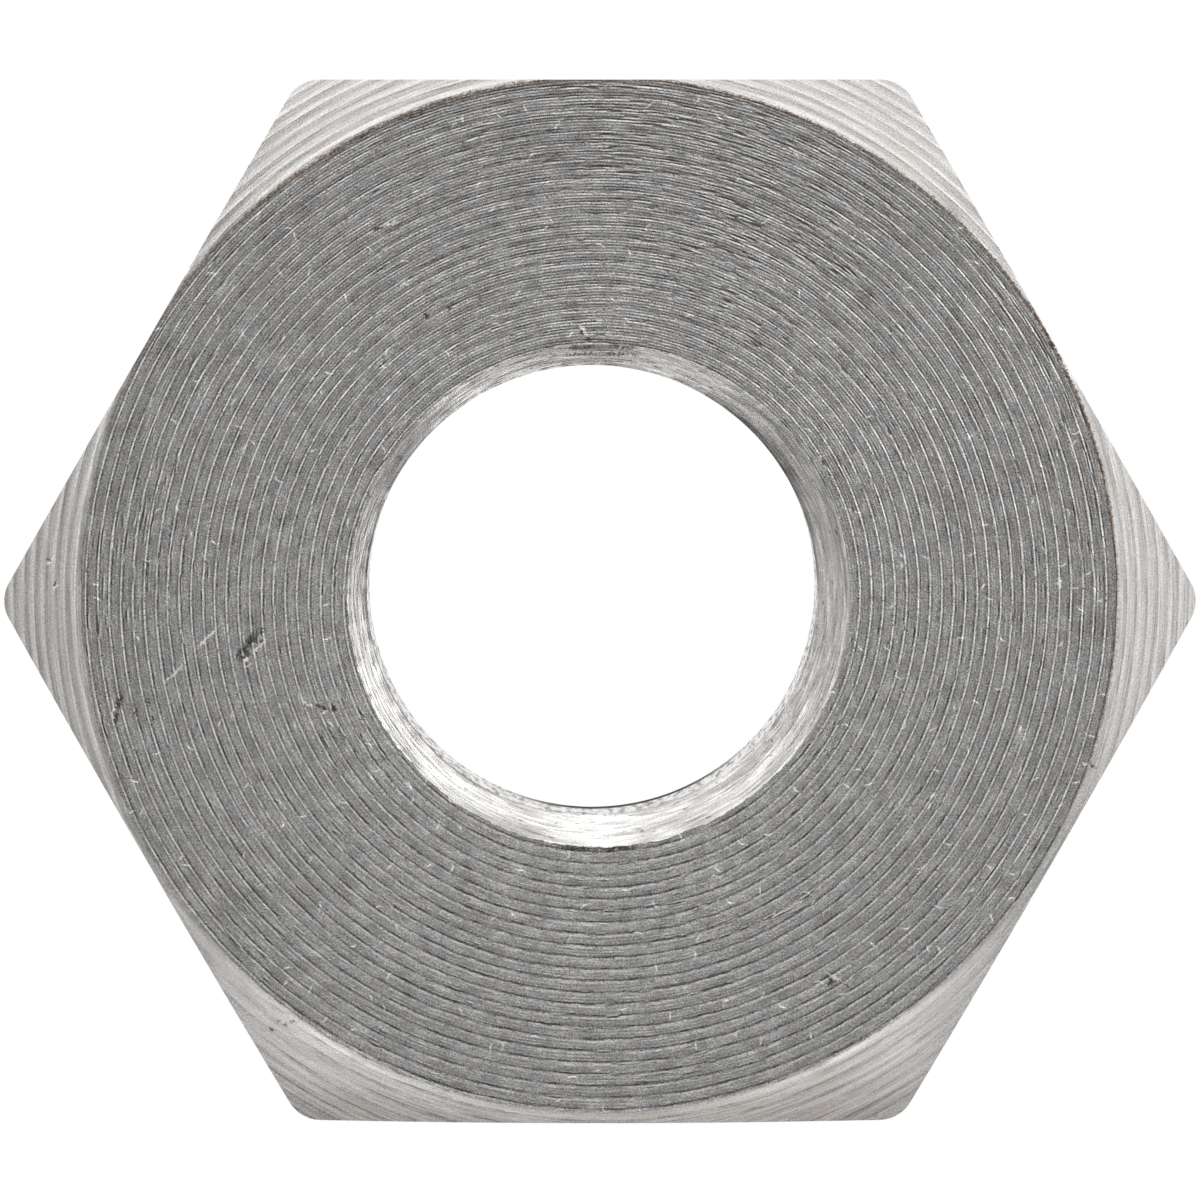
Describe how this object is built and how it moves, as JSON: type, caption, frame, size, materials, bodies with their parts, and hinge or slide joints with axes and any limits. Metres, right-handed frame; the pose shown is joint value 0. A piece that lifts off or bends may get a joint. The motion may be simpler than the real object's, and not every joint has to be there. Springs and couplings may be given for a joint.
{
  "type": "tube nut",
  "caption": "Hexagonal tube nut with a stepped bore: a female thread and a seat cone inside, and a countersunk tube bore through its turned end face.",
  "frame": {"origin": "centre of the threaded end face, on the axis of the thread and the tube bore; the hexagon's centre lies 0.1 mm from it, towards -Y", "axes": "+Z along the bores, from the threaded end to the tube end; +X through one corner of the hexagon; +Y square to one wrench flat"},
  "size_m": [0.0218, 0.019, 0.0165],
  "materials": {
    "steel": "bare free-cutting steel as turned, with feed marks on both end faces and on the chamfers"
  },
  "bodies": {
    "root": {"nut": "steel"}
  },
  "joints": []
}
